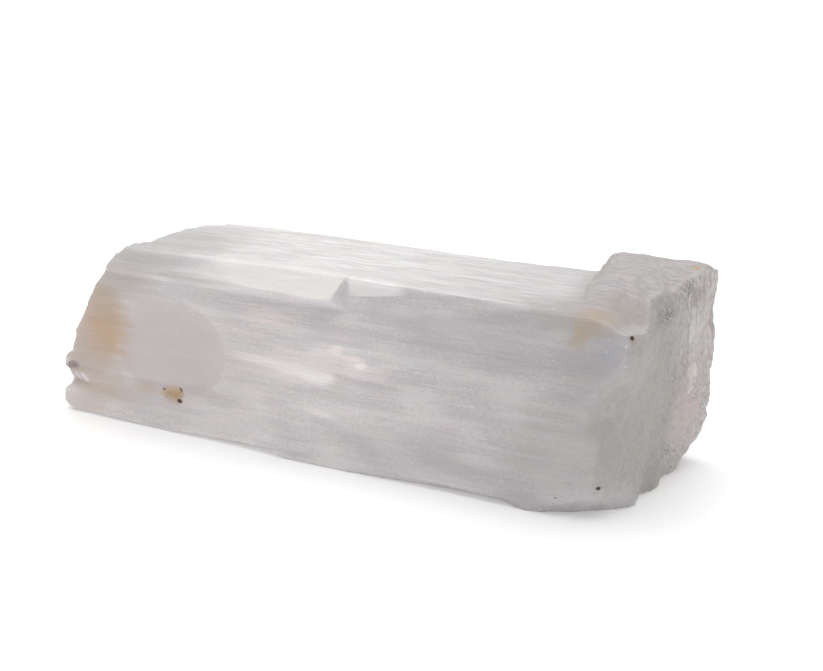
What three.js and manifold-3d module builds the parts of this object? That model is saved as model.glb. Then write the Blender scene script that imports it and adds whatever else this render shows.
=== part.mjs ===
// A rough selenite log: one fibrous gypsum crystal, lying on its flattest side, broken off at both ends.
//
// Frame: millimetres, +Z up, +X along the fibres towards the thick end, -Y towards the smooth side.
// The origin is on the surface that the log lies on, under the middle of its bounding box.
//
// The body is a loft through the log's long edges, with a skin fluted along the fibres. Blades of
// crystal that grew along the log are joined to it, a thicker block stands at one end, and rough-faced
// cutters break both ends, undercut the thin half and cleave the smooth patch on the front.

import * as THREE from "three";
import { mergeVertices } from "three/addons/utils/BufferGeometryUtils.js";
import Module from "manifold-3d";

const wasm = await Module();
wasm.setup();

// ---------------------------------------------------------------- driving dimensions, mm

const THICK_END = 91; // furthest reach of the end with the block
const THIN_END = -90; // the other end's break, on the whole
const THIN_REACH = -92.93; // its furthest splinter
const FRONT = -29; // plane of the broad front side
const BACK = 28; // plane of the back side
const TOP = 52; // top face at its front edge
const TOP_BACK = 49.5; // top face at its back edge
const SHOULDER = 38; // above this height the front side leans back
const LOFT_REACH = 100; // the loft runs past both breaks

const STATIONS = 21; // rings of the loft
const FLUTE_DEPTH = 0.3; // unevenness of the skin from flute to flute
const FLUTE_RUN = 34; // length over which a flute fades into another

const SHELF_BREAK = 6.4; // the bright shelf on the top front edge ends here
const SHELF_LIP = 46.6; // height of the shelf's outer edge
const SHELF_SLANT = 1.3; // how far its snapped end runs out for each mm of depth
const SHELF_THICKNESS = 2.5; // at its outer edge; it thins out upwards
const BLADE_ROOT = 4; // how deep the blades' undersides are sunk

const BLOCK_TOP = 55.8; // top of the end block
const BLOCK_START = 57.5; // where the block rises at the back side
const BLOCK_SKEW = 0.25; // it rises this much later for each mm towards the front
const BLOCK_RISE = 8; // length of that rise
const TOP_BREAK_START = 77; // from here the block's top slopes down to the thick end

const THICK_FACE = 87.6; // the thick end's break, halfway across the log
const THICK_SKEW = 0.115; // it reaches this much further for each mm towards the back
const FRONT_CORNER = 9; // rounding of the thick end's front corner, low down
const UPPER_CORNER = 4; // and near the top

const PATCH_DEPTH = 0.5; // how far the smooth patch on the front is cleaved
const CRACK_HEIGHT = 10.4; // of the crack that runs in from the thin end
const CRACK_LENGTH = 34;
const PIT_AT = -47; // middle of the pit beyond it
const UNDERCUT = 0.3; // the thin half's lower front edge is this far off the ground
const UNDERCUT_END = -10; // where the thin half's undercut stops

const SEED = 7;

// ---------------------------------------------------------------- small tools

// A repeatable source of numbers between 0 and 1.
function numbers(seed) {
  let state = seed >>> 0;
  return () => {
    state = (Math.imul(state, 1664525) + 1013904223) >>> 0;
    return state / 4294967296;
  };
}

// A repeatable number between -1 and 1 for a pair of whole numbers.
function hash(i, j) {
  let state = Math.imul(i + 811, 374761393) ^ Math.imul(j + 547, 668265263) ^ Math.imul(SEED, 97);
  state = Math.imul(state ^ (state >>> 13), 1274126177);
  return ((state ^ (state >>> 16)) >>> 0) / 2147483648 - 1;
}

const { clamp, lerp, smoothstep } = THREE.MathUtils;

// Straight runs through points whose first number is where they are and whose others are read there.
function edge(...points) {
  return (where) => {
    const beyond = points.findIndex((point) => point[0] > where);
    const k = beyond < 0 ? points.length - 1 : Math.max(beyond, 1);
    const [from, ...low] = points[k - 1];
    const [to, ...high] = points[k];
    const share = clamp((where - from) / (to - from), 0, 1);
    return low.map((value, i) => lerp(value, high[i], share));
  };
}

function solidOf(geometry) {
  const bare = geometry.clone();
  bare.deleteAttribute("normal");
  bare.deleteAttribute("uv");
  const merged = mergeVertices(bare, 1e-4);
  return new wasm.Manifold(
    new wasm.Mesh({
      numProp: 3,
      vertProperties: new Float32Array(merged.attributes.position.array),
      triVerts: new Uint32Array(merged.index.array),
    }),
  );
}

function geometryOf(solid) {
  const mesh = solid.getMesh();
  return new THREE.BufferGeometry()
    .setAttribute("position", new THREE.BufferAttribute(mesh.vertProperties, 3))
    .setIndex(new THREE.BufferAttribute(mesh.triVerts, 1));
}

// Moves every vertex of a geometry to where the function sends it.
function moved(geometry, send) {
  const place = geometry.attributes.position;
  const point = new THREE.Vector3();
  for (let i = 0; i < place.count; i++) {
    point.fromBufferAttribute(place, i);
    place.setXYZ(i, ...send(point.x, point.y, point.z));
  }
  return geometry;
}

const join = (solids) => solids.reduce((all, next) => all.add(next));
const cut = (solid, cutters) => cutters.reduce((rest, cutter) => rest.subtract(cutter), solid);

// ---------------------------------------------------------------- body

// The log's long edges in order round its section, each with the number of flutes up to the next edge.
const lowerFront = edge(
  [-90, -27.8, 0], [-30, -27.2, 0], [-14, -30, 0], [12, -29.7, 0], [40, -26, 0],
);
const frontBottom = edge(
  [-90, FRONT, 1.1], [-30, FRONT, 1.3], [-14, FRONT - 1.6, 1.3], [12, FRONT - 1.2, 1.4], [40, FRONT - 0.2, 2],
);
const frontShoulder = edge([-95, FRONT + 1, 36], [-75, FRONT, SHOULDER]);
const frontTop = edge(
  [-90, -28.6, 46], [-40, -28.3, 46], [0, -26, 46.8], [22, -26, 47.8], [40, -26.8, 48.2], [95, -26.6, 49],
);
const topFront = edge([-90, -23, 51.6], [-45, -23.5, TOP], [20, -24.5, TOP], [95, -24.5, 51.6]);
const topBack = edge([-90, 12, 51.8], [-50, 12, 52.2], [20, 12, 51.4], [60, 12, 50.8]);
const backTop = edge([-90, 26, 49], [-62, 27, 50.2], [-20, 27, 50.6], [30, 27, 49.1]);
const backShoulder = edge([-90, 25, 43], [-40, BACK, 46], [95, BACK + 0.5, 45]);
const backBottom = edge([-90, 24, 8], [-30, BACK - 1, 7], [95, BACK, 6]);
const lowerBack = edge([-90, 19, 0], [-30, 23, 0], [95, 24, 0]);

const LONG_EDGES = [
  { at: lowerFront, flutes: 1 },
  { at: frontBottom, flutes: 9 },
  { at: frontShoulder, flutes: 3 },
  { at: frontTop, flutes: 2 },
  { at: topFront, flutes: 7 },
  { at: topBack, flutes: 4 },
  { at: backTop, flutes: 1 },
  { at: backShoulder, flutes: 9 },
  { at: backBottom, flutes: 2 },
  { at: lowerBack, flutes: 8 },
];

const AROUND = LONG_EDGES.reduce((sum, next) => sum + next.flutes, 0);

// The point of the loft's skin on flute number k at x, before fluting.
function skinPoint(k, x) {
  let left = ((k % AROUND) + AROUND) % AROUND;
  let from = 0;
  while (left >= LONG_EDGES[from].flutes) {
    left -= LONG_EDGES[from].flutes;
    from += 1;
  }
  const start = LONG_EDGES[from].at(x);
  const end = LONG_EDGES[(from + 1) % LONG_EDGES.length].at(x);
  const share = left / LONG_EDGES[from].flutes;
  return [lerp(start[0], end[0], share), lerp(start[1], end[1], share)];
}

// How far the skin stands proud on flute k at x: long waves that differ from flute to flute.
function fluting(k, x) {
  const turn = ((k % AROUND) + AROUND) % AROUND;
  const step = x / FLUTE_RUN + 0.37 * turn;
  const cell = Math.floor(step);
  return FLUTE_DEPTH * lerp(hash(turn, cell), hash(turn, cell + 1), smoothstep(step - cell, 0, 1));
}

// The direction, across the fibres, that the skin faces at flute k and x.
function skinDirection(k, x) {
  const [y0, z0] = skinPoint(k - 1, x);
  const [y1, z1] = skinPoint(k + 1, x);
  return new THREE.Vector2(z0 - z1, y1 - y0).normalize();
}

function body() {
  const tube = new THREE.CylinderGeometry(1, 1, 1, AROUND, STATIONS - 1);
  return solidOf(
    moved(tube, (across, along, up) => {
      const x = 2 * LOFT_REACH * along;
      if (Math.hypot(across, up) < 0.5) return [x, 0, TOP / 2];
      const k = -Math.round((Math.atan2(across, up) / (2 * Math.PI)) * AROUND);
      const [y, z] = skinPoint(k, x);
      const out = skinDirection(k, x).multiplyScalar(fluting(k, x));
      return [x, y + out.x, z === 0 ? 0 : z + out.y];
    }),
  );
}

// ---------------------------------------------------------------- bars and blades along the fibres

// A bar along X with its section given as [y, z] points, anticlockwise seen from +X.
// start and stop give its ends at each y, z, so they can slant.
function bar(outline, start, stop) {
  const section = new THREE.Shape(outline.map(([y, z]) => new THREE.Vector2(y, z)));
  const geometry = new THREE.ExtrudeGeometry(section, { depth: 1, bevelEnabled: false });
  return solidOf(moved(geometry, (y, z, along) => [lerp(start(y, z), stop(y, z), along), y, z]));
}

// A blade: a flat bar with a low ridge, half sunk in the skin along one flute.
// Its narrowed ends are snapped at a slant.
function blade({ flute, from, to, width, proud, slant }) {
  const half = width / 2;
  const section = new THREE.Shape([
    new THREE.Vector2(-half - proud, -BLADE_ROOT),
    new THREE.Vector2(half + proud, -BLADE_ROOT),
    new THREE.Vector2(half, 0.7 * proud),
    new THREE.Vector2(0.2 * half, proud),
    new THREE.Vector2(-half, 0.8 * proud),
  ]);
  const geometry = new THREE.ExtrudeGeometry(section, { depth: 1, steps: 3, bevelEnabled: false });
  const out = skinDirection(flute, (from + to) / 2);
  return solidOf(
    moved(geometry, (across, outward, along) => {
      const wide = across * (along === 0 || along === 1 ? 0.75 : 1);
      const x = lerp(from, to, along) + slant * wide;
      const [y, z] = skinPoint(flute, x);
      return [x, y + out.y * wide + out.x * outward, z - out.x * wide + out.y * outward];
    }),
  );
}

// Blades scattered over a run of flutes.
function blades(next, count, flutes, lengths, widths, heights) {
  return Array.from({ length: count }, () => {
    const pick = ([low, high]) => lerp(low, high, next());
    const length = pick(lengths);
    const from = lerp(THIN_END - 4, THICK_END - 6 - length, next());
    return blade({
      flute: Math.round(pick(flutes)),
      from,
      to: from + length,
      width: pick(widths),
      proud: pick(heights),
      slant: lerp(-0.8, 0.8, next()),
    });
  });
}

// The bright shelf along the top front edge: a slab of the crystal's outer layer, snapped off at one end.
function shelf() {
  const lip = [FRONT - 0.3, SHELF_LIP];
  const upper = [-24.2, TOP + 0.5];
  const underside = [[FRONT + 0.8, SHELF_LIP - 1.8], [-22, SHELF_LIP - 3], [-16, TOP - 2]];
  const steepness = (upper[0] - lip[0]) / (upper[1] - lip[1]);
  const depth = (y, z) => (y - lip[0] - steepness * (z - lip[1])) / Math.hypot(1, steepness);
  const snapped = (y, z) =>
    SHELF_BREAK + 0.35 * (z - SHELF_LIP) + SHELF_SLANT * clamp(depth(y, z), 0, SHELF_THICKNESS);
  return bar([lip, ...underside, [-18, TOP + 0.2], upper], () => THIN_END - 8, snapped);
}

// ---------------------------------------------------------------- end block and foot

// Height of the block's top across the log.
const blockCrown = edge(
  [-30, 45.8], [-20, 51], [-12, 53.2], [0, 55], [12, BLOCK_TOP], [27, BLOCK_TOP], [29, 54],
);

// Height of the block over x, y.
function blockHeight(x, y) {
  const start = BLOCK_START + BLOCK_SKEW * (27 - y);
  const length = lerp(3, BLOCK_RISE, clamp((y - FRONT) / (BACK - FRONT), 0, 1));
  const rise = 1 - (1 - clamp((x - start) / length, 0, 1)) ** 2.2;
  const rounding = 2.4 * clamp((x - 87) / 5, 0, 1) ** 2;
  return lerp(TOP_BACK - 3, blockCrown(y)[0] - rounding, rise);
}

function block() {
  const columns = 13;
  const rows = 12;
  const geometry = new THREE.BoxGeometry(1, 1, 1, columns, rows, 1);
  return solidOf(
    moved(geometry, (along, across, up) => {
      const y = lerp(FRONT + 3.4, BACK + 0.8, across + 0.5);
      const x = lerp(BLOCK_START - 2 + BLOCK_SKEW * (27 - y), THICK_END + 5, along + 0.5);
      const rough = 0.35 * hash(Math.round(along * columns), Math.round(across * rows));
      return [x, y, up > 0 ? blockHeight(x, y) + rough : TOP / 2];
    }),
  );
}

// The bulge of the thick end's lower front edge, where the log is broadest.
function foot() {
  const lump = new THREE.SphereGeometry(1, 18, 12);
  return solidOf(moved(lump, (x, y, z) => [71 + 16 * x, -23.4 + 7 * y, -1 + 14 * z]));
}

// ---------------------------------------------------------------- breaks

// A cutter with one rough face. surface(y, z) gives the face's x, and far how far off its other side is.
// The face's corners are scattered, so that no rows of them show.
function roughCutter(surface, far) {
  const cells = 20;
  const size = 68;
  const scatter = (0.36 * size) / cells;
  const geometry = new THREE.BoxGeometry(1, 1, 1, 1, cells, cells);
  return solidOf(
    moved(geometry, (side, across, up) => {
      if ((side < 0) !== far > 0) return [far, size * across, TOP / 2 + size * up];
      const [column, row] = [Math.round(cells * across), Math.round(cells * up)];
      const y = size * across + scatter * hash(column, row);
      const z = TOP / 2 + size * up + scatter * hash(row + 300, column);
      return [surface(y, z), y, z];
    }),
  );
}

// Bundles of fibres that snapped at different lengths: a step for each cell of the section.
const splinter = (y, z, across, high) => hash(Math.floor(y / across), Math.floor((z + 0.3 * y) / high));

// The thick end: set back at its foot, leaning out above it towards the front, rounded into the front
// side, with a broad lump on its back half and coarser splinters there.
function thickBreak(y, z) {
  const foot = clamp(1.9 + 0.1 * y, 0, 6) * clamp(1 - z / 17, 0, 1) ** 2;
  const frontFoot = 16 * clamp(1 - z / 12, 0, 1) ** 2 * clamp((-8 - y) / 20, 0, 2) ** 2;
  const leaningOut = 5.5 * smoothstep(z, 24, 48) * clamp(-0.2 - y / 18, 0, 1);
  const corner = lerp(FRONT_CORNER, UPPER_CORNER, smoothstep(z, 30, 46));
  const inside = clamp(FRONT + corner - y, 0, corner);
  const rounding = corner - Math.sqrt(corner * corner - inside * inside);
  const scallops = 1.2 * Math.cos((2 * Math.PI * (y - 1)) / 14.5) * clamp(1 - z / 22, 0, 1);
  const lump = 1.6 * clamp(1 - ((y - 14) / 13) ** 2 - ((z - 22) / 12) ** 2, 0, 1);
  const brow = 0.4 * clamp(z - lerp(43, 53, smoothstep(y, -4, 12)), 0, 12);
  const rough = lerp(0.2, 0.8, smoothstep(y, -2, 10)) * splinter(y, z, 5.5, 9);
  const proud = leaningOut + scallops + lump + rough;
  return THICK_FACE + THICK_SKEW * y + proud - foot - frontFoot - rounding - brow;
}

// The sloping break between the block's top and the thick end: where it starts, and how fast it falls.
const topBreakBase = edge([-30, 51], [-20, 52], [-12, 53.4], [0, 55.2], [12, 56.4], [30, 57]);
const topBreakFall = edge([-30, 0.26], [-26, 0.3], [-13, 0.6], [0, 0.45], [13, 0.25], [22, 0.04], [30, 0]);

function topBreak() {
  const columns = 9;
  const rows = 16;
  const geometry = new THREE.BoxGeometry(1, 1, 1, columns, rows, 1);
  return solidOf(
    moved(geometry, (along, across, up) => {
      const x = lerp(TOP_BREAK_START - 2, THICK_END + 6, along + 0.5);
      const y = 64 * across;
      const rough = 0.45 * hash(Math.round(along * columns), Math.round(across * rows));
      const fall = topBreakFall(y)[0] * Math.max(x - TOP_BREAK_START, 0);
      return [x, y, up > 0 ? BLOCK_TOP + 24 : topBreakBase(y)[0] - fall + rough];
    }),
  );
}

// How far the thin end reaches at each height, before its knob and lobe are cut out at the front.
const thinProfile = edge(
  [-6, -87], [0.8, -91], [4, -94], [15, -93], [18, -91.5], [21, -88.4], [24, -86.4], [27, -84.6],
  [30, -82.4], [39, -77.6], [45, -73.6], [50, -71], [52, -69], [57, -60],
);

function thinBreak(y, z) {
  const corner = 0.8 * clamp((-24 - y) / 5, 0, 2) ** 2;
  const front = lerp(1, 0.35, smoothstep(y, -24, -5));
  const straight = lerp(-89, -82, clamp(z / 40, 0, 1));
  const x = z < 20 ? lerp(straight, thinProfile(z)[0], front) : thinProfile(z)[0];
  return Math.max(THIN_REACH, x + 0.06 * Math.max(y, 0) + corner + 0.9 * splinter(y, z, 6, 7));
}

// What is missing in front of the thin end: it leaves a lobe at the foot, a notch and a knob above it.
function notch() {
  const lobe = [[-88.9, 0.4], [-90.2, 1], [-91.9, 2.6], [-92.4, 4.6], [-92, 6.2], [-90.9, 7.5]];
  const hollow = [[-89.3, 8.2], [-88.6, 10], [-88.6, 12], [-89.2, 13.2]];
  const knob = [[-90.6, 14], [-91, 15.2], [-90.6, 16.8], [-89.6, 17.9], [-88, 18.6], [-86.8, 21.8]];
  const outline = [[-110, -2], [-88.9, -2], ...lobe, ...hollow, ...knob, [-85.4, 25], [-110, 26]];
  const gap = new THREE.Shape(outline.map(([x, z]) => new THREE.Vector2(x, z)));
  const missing = new THREE.ExtrudeGeometry(gap, { depth: 21, steps: 6, bevelEnabled: false });
  const place = (x, z, deep) => {
    const y = FRONT + 17 - deep;
    return [x - 7 * smoothstep(y, -24, -14) + 0.2 * Math.max(-26 - y, 0), y, z];
  };
  return solidOf(moved(missing, place));
}

// ---------------------------------------------------------------- cuts in the skin

// The thin half is undercut along its front, so that it stands on its back half.
function undercut() {
  const outline = [[-36, -3], [6, -3], [6, -0.4], [-27.5, UNDERCUT], [-36, UNDERCUT]];
  return bar(outline, () => THIN_END - 20, (y, z) => UNDERCUT_END - 1.6 * z);
}

// The lower front edge is chipped off up to the step where the thick half begins.
function chip() {
  const outline = [[-36, -3], [-25, -3], [-26.2, 0], [-29, 1.5], [-36, 5.2]];
  return bar(outline, (y, z) => UNDERCUT_END - 23 + 3 * z, (y, z) => UNDERCUT_END - 1.6 * z);
}

// The smooth patch near the thin end: a flake is cleaved off, up to a rounded edge.
function patch() {
  const outline = new THREE.Shape();
  outline.moveTo(-69, 13.5);
  outline.lineTo(-33, 15);
  outline.quadraticCurveTo(-25, 27, -35, 37.5);
  outline.lineTo(-50, 43);
  outline.lineTo(-68, 43);
  const flake = new THREE.ExtrudeGeometry(outline, { depth: 4, curveSegments: 6, bevelEnabled: false });
  return solidOf(moved(flake, (x, z, deep) => [x, FRONT + PATCH_DEPTH * smoothstep(x, -95, -40) - deep, z]));
}

// The crack that runs in from the thin end's notch: a shallow groove that fades inwards.
function crack() {
  const groove = new THREE.ConeGeometry(2.8, CRACK_LENGTH, 9);
  const middle = THIN_END - 2 + CRACK_LENGTH / 2;
  const place = (x, along, z) => [middle + along, FRONT - 1.6 - x, CRACK_HEIGHT + 1.1 * z + 0.04 * along];
  return solidOf(moved(groove, place));
}

// The pit where the crack stops.
function pit() {
  const hollow = new THREE.SphereGeometry(1, 8, 6);
  return solidOf(moved(hollow, (x, y, z) => [PIT_AT + 3.4 * x, FRONT - 0.2 + 1.1 * y, 12.5 + 1.8 * z]));
}

// Shallow hollows along the underside, between the ribs that it lies on.
function hollows() {
  const places = [[-17, 7, -96, 20], [-6, 4, -30, 96], [3, 6, -96, -5], [12, 5, -60, 70], [19, 3, 10, 96]];
  return places.map(([y, width, from, to]) => {
    const roof = [[y + 0.3 * width, 0.9], [y - 0.2 * width, 1.2]];
    const outline = [[y - width / 2, -1], [y + width / 2, -1], ...roof];
    return bar(outline, () => from, () => to);
  });
}

// Everything below the ground.
function ground() {
  return solidOf(new THREE.BoxGeometry(300, 200, 20).translate(0, 0, -10));
}

// ---------------------------------------------------------------- the log

function log() {
  const next = numbers(SEED);
  const grown = join([
    body(),
    shelf(),
    block(),
    foot(),
    ...blades(next, 6, [2, 9], [40, 90], [5, 10], [0.2, 0.4]),
    ...blades(next, 7, [18, 26], [30, 95], [3, 8], [0.25, 0.6]),
    ...blades(next, 12, [28, 38], [30, 110], [3, 9], [0.6, 1.8]),
    ...blades(next, 3, [29, 36], [60, 110], [12, 17], [1.2, 1.8]),
  ]);
  const breaks = [roughCutter(thickBreak, 130), roughCutter(thinBreak, -130), topBreak()];
  const damage = [undercut(), chip(), notch(), patch(), crack(), pit()];
  return cut(grown, [...breaks, ...damage, ...hollows(), ground()]);
}

const shape = geometryOf(log());
shape.computeBoundingBox();
const middle = shape.boundingBox.getCenter(new THREE.Vector3());
shape.translate(-middle.x, -middle.y, 0);

const crystal = new THREE.MeshStandardMaterial({ color: 0xd6cfd0, roughness: 0.45, metalness: 0 });
const seleniteLog = new THREE.Mesh(shape, crystal);
seleniteLog.name = "selenite_log";

const part = new THREE.Group();
part.add(seleniteLog);

export default part;
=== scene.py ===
"""Selenite log: a milky, fibrous length of selenite with one broken thick end and one worn thin end."""

import math
from types import SimpleNamespace

import bpy
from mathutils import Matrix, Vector


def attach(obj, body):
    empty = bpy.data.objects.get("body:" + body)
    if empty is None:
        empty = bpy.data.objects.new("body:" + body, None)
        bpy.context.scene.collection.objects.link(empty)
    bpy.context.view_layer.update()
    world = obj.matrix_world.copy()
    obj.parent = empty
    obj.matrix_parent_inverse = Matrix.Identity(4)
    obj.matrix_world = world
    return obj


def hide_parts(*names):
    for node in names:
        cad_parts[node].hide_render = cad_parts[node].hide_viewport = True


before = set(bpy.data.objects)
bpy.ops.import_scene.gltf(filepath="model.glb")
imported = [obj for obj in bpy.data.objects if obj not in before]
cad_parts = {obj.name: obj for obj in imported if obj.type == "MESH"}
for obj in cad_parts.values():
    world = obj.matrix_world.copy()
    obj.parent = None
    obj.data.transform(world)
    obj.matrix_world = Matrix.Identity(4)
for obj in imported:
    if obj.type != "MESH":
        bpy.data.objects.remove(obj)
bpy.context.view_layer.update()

bl_info = {
    "name": "Selenite Log",
    "version": (1, 0, 0),
    "blender": (4, 5, 0),
    "location": "View3D > Sidebar > Selenite",
    "description": "Dresses a solid of a selenite log as milky, fibrous stone and sets it in a plain studio",
    "category": "Object",
}

CAD_NODE = "selenite_log"
PIECE = "selenite_crystal"
FLOOR = "studio_floor"
MM = 0.001  # metres in a millimetre
WHITE = (1.0, 1.0, 1.0)
BLACK = (0.0, 0.0, 0.0)


class SeleniteShape(bpy.types.PropertyGroup):
    """Sizes of the relief that is raised on the solid."""

    grain: bpy.props.FloatProperty(
        name="Mesh Grain",
        description="Width of a face across the fibres",
        default=0.54 * MM,
        min=0.3 * MM,
        max=2 * MM,
        precision=5,
        unit="LENGTH",
    )
    stretch: bpy.props.FloatProperty(
        name="Stretch",
        description="How many times longer than wide a face is, along the fibres",
        default=2.2,
        min=1.0,
        max=6.0,
    )
    rib_height: bpy.props.FloatProperty(
        name="Rib Height",
        description="Height of the long fibre ribs",
        default=0.35 * MM,
        min=0.0,
        max=2 * MM,
        precision=5,
        unit="LENGTH",
    )
    ledge_height: bpy.props.FloatProperty(
        name="Ledge Height",
        description="Height of the ledges between split layers",
        default=0.5 * MM,
        min=0.0,
        max=3 * MM,
        precision=5,
        unit="LENGTH",
    )
    break_depth: bpy.props.FloatProperty(
        name="Break Depth",
        description="Depth of the lumps and splinters on the two broken ends",
        default=0.9 * MM,
        min=0.0,
        max=4 * MM,
        precision=5,
        unit="LENGTH",
    )


class SeleniteFinish(bpy.types.PropertyGroup):
    """Colours and polish of the stone."""

    milky: bpy.props.FloatVectorProperty(
        name="Milky Stone",
        description="Palest colour of the fibres",
        default=(0.825, 0.796, 0.79),
        size=3,
        min=0.0,
        max=1.0,
        subtype="COLOR",
    )
    mauve: bpy.props.FloatVectorProperty(
        name="Mauve Stone",
        description="Deeper colour between the fibres",
        default=(0.667, 0.628, 0.645),
        size=3,
        min=0.0,
        max=1.0,
        subtype="COLOR",
    )
    roughness: bpy.props.FloatProperty(
        name="Roughness",
        description="Roughness of the split faces",
        default=0.42,
        min=0.0,
        max=1.0,
        subtype="FACTOR",
    )
    depth: bpy.props.FloatProperty(
        name="Light Depth",
        description="How far light travels inside the milky stone",
        default=4 * MM,
        min=0.0,
        max=30 * MM,
        precision=5,
        unit="LENGTH",
    )


class SeleniteStage(bpy.types.PropertyGroup):
    """The studio round the log."""

    floor_colour: bpy.props.FloatVectorProperty(
        name="Floor Colour",
        description="Colour of the floor",
        default=(0.94, 0.94, 0.94),
        size=3,
        min=0.0,
        max=1.0,
        subtype="COLOR",
    )
    floor_size: bpy.props.FloatProperty(
        name="Floor Size",
        description="Length of a side of the floor",
        default=40.0,
        min=1.0,
        unit="LENGTH",
    )
    floor_glow: bpy.props.FloatProperty(
        name="Floor Glow",
        description="Light that comes up through the floor",
        default=0.2,
        min=0.0,
    )
    overhead: bpy.props.FloatProperty(
        name="Overhead Light",
        description="Strength of the broad light above",
        default=2.3,
        min=0.0,
    )
    softness: bpy.props.FloatProperty(
        name="Light Softness",
        description="Angle that the overhead light fills",
        default=math.radians(70),
        min=0.0,
        max=math.pi,
        subtype="ANGLE",
    )
    ambient: bpy.props.FloatProperty(
        name="Ambient Light",
        description="Strength of the light from all round",
        default=0.312,
        min=0.0,
    )
    azimuth: bpy.props.FloatProperty(
        name="Azimuth",
        description="Direction of the camera round the log, from the front towards the thick end",
        default=math.radians(30),
        subtype="ANGLE",
    )
    elevation: bpy.props.FloatProperty(
        name="Elevation",
        description="Height of the camera above the floor, as an angle",
        default=math.radians(16),
        subtype="ANGLE",
    )
    distance: bpy.props.FloatProperty(
        name="Distance",
        description="From the camera to the point it looks at",
        default=362 * MM,
        min=0.05,
        precision=4,
        unit="LENGTH",
    )
    aim: bpy.props.FloatVectorProperty(
        name="Aim",
        description="Point that the camera looks at",
        default=(14.77 * MM, 0.14 * MM, 31 * MM),
        size=3,
        precision=5,
        subtype="TRANSLATION",
        unit="LENGTH",
    )
    lens: bpy.props.FloatProperty(
        name="Lens",
        description="Focal length on a sensor 36 mm wide",
        default=56.87,
        min=10.0,
    )


# ---- small tools for node trees ----


def put(tree, kind, inputs=None, **settings):
    """Adds a node with these settings, and sets or links its inputs by name or number."""
    made = tree.nodes.new(kind)
    for name, value in settings.items():
        setattr(made, name, value)
    for name, value in (inputs or {}).items():
        if isinstance(value, bpy.types.NodeSocket):
            tree.links.new(value, made.inputs[name])
        else:
            made.inputs[name].default_value = value
    return made


def calc(tree, operation, *values):
    """One number worked out from up to three others."""
    return put(tree, "ShaderNodeMath", dict(enumerate(values)), operation=operation).outputs[0]


def shift(tree, operation, *values):
    """One vector worked out from up to three others."""
    return put(tree, "ShaderNodeVectorMath", dict(enumerate(values)), operation=operation).outputs[0]


def scaled(tree, vector, factor):
    """A vector made longer by a factor."""
    return put(tree, "ShaderNodeVectorMath", {0: vector, 3: factor}, operation="SCALE").outputs[0]


def parts_of(tree, vector):
    """The x, y and z of a vector."""
    return tuple(put(tree, "ShaderNodeSeparateXYZ", {0: vector}).outputs)


def product(tree, first, *others):
    """These numbers multiplied together."""
    for value in others:
        first = calc(tree, "MULTIPLY", first, value)
    return first


def centred(tree, value):
    """A noise about 0.5, moved to be about 0."""
    return calc(tree, "SUBTRACT", value, 0.5)


def rest(tree, value):
    """What is left of 1."""
    return calc(tree, "SUBTRACT", 1.0, value)


def rise(tree, value, low, high):
    """A smooth step from 0 at low to 1 at high."""
    inputs = {"Value": value, "From Min": low, "From Max": high}
    return put(tree, "ShaderNodeMapRange", inputs, interpolation_type="SMOOTHSTEP").outputs[0]


def fall(tree, value, low, high):
    """A smooth step from 1 at low to 0 at high."""
    return rest(tree, rise(tree, value, low, high))


def lessen(tree, value, mask, share):
    """Takes this share of a value away where the mask is 1."""
    return calc(tree, "MULTIPLY", value, calc(tree, "MULTIPLY_ADD", mask, -share, 1.0))


def past_line(tree, along, across, lean, low, high):
    """A smooth step across a slanting line, where along + lean * across goes from low to high."""
    return rise(tree, calc(tree, "MULTIPLY_ADD", across, lean, along), low, high)


def noise(tree, point, size, detail, roughness, seed):
    """Smooth noise about 0.5, whose features are as long as size on each axis, in the point's own unit."""
    scale = tuple(1.0 / length for length in size)
    placed = shift(tree, "MULTIPLY_ADD", point, scale, seed)
    inputs = {"Vector": placed, "Scale": 1.0, "Detail": detail, "Roughness": roughness}
    return put(tree, "ShaderNodeTexNoise", inputs).outputs[0]


def opaque(colour):
    """A colour with full cover. One that comes from a node stays as it is."""
    return colour if isinstance(colour, bpy.types.NodeSocket) else (*colour, 1.0)


def blend(tree, base, colour, amount):
    """Lays one colour over another, by an amount from 0 to 1."""
    inputs = {0: amount, 6: opaque(base), 7: opaque(colour)}
    return put(tree, "ShaderNodeMix", inputs, data_type="RGBA").outputs[2]


# ---- the relief, as a geometry node tree: lengths are in millimetres, and a pair is a smooth step ----

# The smooth patch of the front
PATCH_LEFT = (-70.0, -66.0)
PATCH_RIGHT = (-34.0, -28.0)
PATCH_FOOT = (11.0, 15.0)
PATCH_HEAD = (37.0, 43.0)

LAYERS = 9.0  # split layers between the lowest noise and the highest
MIDDLE_LAYER = 5.0  # the layer that stays level with the solid
LEDGE_EDGE = (0.82, 1.0)  # the part of a layer in which its ledge rises
GROUND_CALM = (0.3, 2.5)  # the height from which relief is raised, so that the log still lies flat


def rib_lift(tree, shape, here):
    """Long ribs, lower on the front and lowest on its smooth patch."""
    ribs = noise(tree, here.point, (45.0, 2.2, 2.2), detail=3.0, roughness=0.55, seed=(3.0, 1.0, 7.0))
    ribs = product(tree, centred(tree, ribs), 2.0, shape.rib_height)
    ribs = lessen(tree, ribs, here.front, 0.65)
    cleaved = product(
        tree,
        rise(tree, here.x, *PATCH_LEFT),
        rise(tree, here.z, *PATCH_FOOT),
        fall(tree, here.x, *PATCH_RIGHT),
        fall(tree, here.z, *PATCH_HEAD),
        here.front,
    )
    return lessen(tree, ribs, cleaved, 0.8)


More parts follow.
